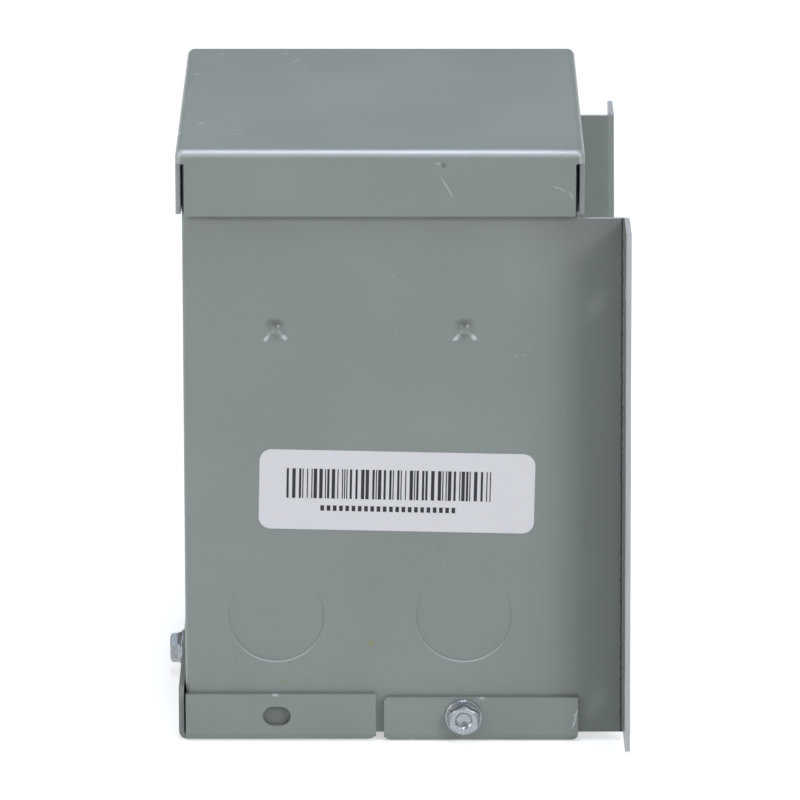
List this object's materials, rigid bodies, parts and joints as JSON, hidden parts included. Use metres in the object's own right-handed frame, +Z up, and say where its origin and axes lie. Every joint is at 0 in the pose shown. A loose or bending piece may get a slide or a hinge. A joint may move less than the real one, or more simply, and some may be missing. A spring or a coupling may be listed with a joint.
{
  "type": "buck boost transformer",
  "caption": "Resin-filled wall transformer in a folded grey steel box with lid, side knockouts, rear mounting flanges and a lift-off wiring cover underneath.",
  "frame": {"origin": "on the underside of the base plate, half way across the box and half way between its front face and the wall plane", "axes": "+Z up, +Y towards the wall, +X to the right-hand side seen from the front"},
  "size_m": [0.1288, 0.1079, 0.1416],
  "materials": {
    "enclosure_paint": "satin grey-green enamel",
    "zinc_screws": "bright zinc plate",
    "ground_green": "green dichromate",
    "label_film": "white printed film",
    "resin": "sand-filled cast resin",
    "lamination_steel": "rolled silicon steel",
    "clamp_steel": "hot-dip galvanised sheet",
    "winding_copper": "enamelled copper wire",
    "bobbin_nylon": "moulded nylon",
    "insulation_paper": "calendered paper",
    "coil_tape_film": "polyester film tape",
    "lead_sleeve_black": "extruded sleeve",
    "lead_sleeve_white": "extruded sleeve"
  },
  "bodies": {
    "enclosure": {"enclosure_wrap": "enclosure_paint", "rear_panel": "enclosure_paint", "top_lid": "enclosure_paint", "base_plate": "enclosure_paint", "base_screw_right": "zinc_screws", "base_screw_left": "zinc_screws", "ground_screw": "ground_green", "bar_label": "label_film", "resin_block": "resin", "core_e_laminations": "lamination_steel", "core_i_laminations": "lamination_steel", "core_clamp": "clamp_steel", "coil_bobbin": "bobbin_nylon", "primary_winding": "winding_copper", "winding_insulation": "insulation_paper", "secondary_winding": "winding_copper", "coil_tape": "coil_tape_film", "lead_primary_1": "lead_sleeve_black", "lead_secondary_1": "lead_sleeve_white", "lead_primary_2": "lead_sleeve_black", "lead_secondary_2": "lead_sleeve_white", "lead_primary_3": "lead_sleeve_black", "lead_secondary_3": "lead_sleeve_white", "lead_primary_4": "lead_sleeve_black", "lead_secondary_4": "lead_sleeve_white"},
    "access_cover": {"access_cover": "enclosure_paint", "cover_screw": "zinc_screws"}
  },
  "joints": [
    {"name": "cover_slide", "type": "slide", "parent": "enclosure", "child": "access_cover", "axis": [0, -1, 0], "range_m": [0, 0.12]}
  ]
}
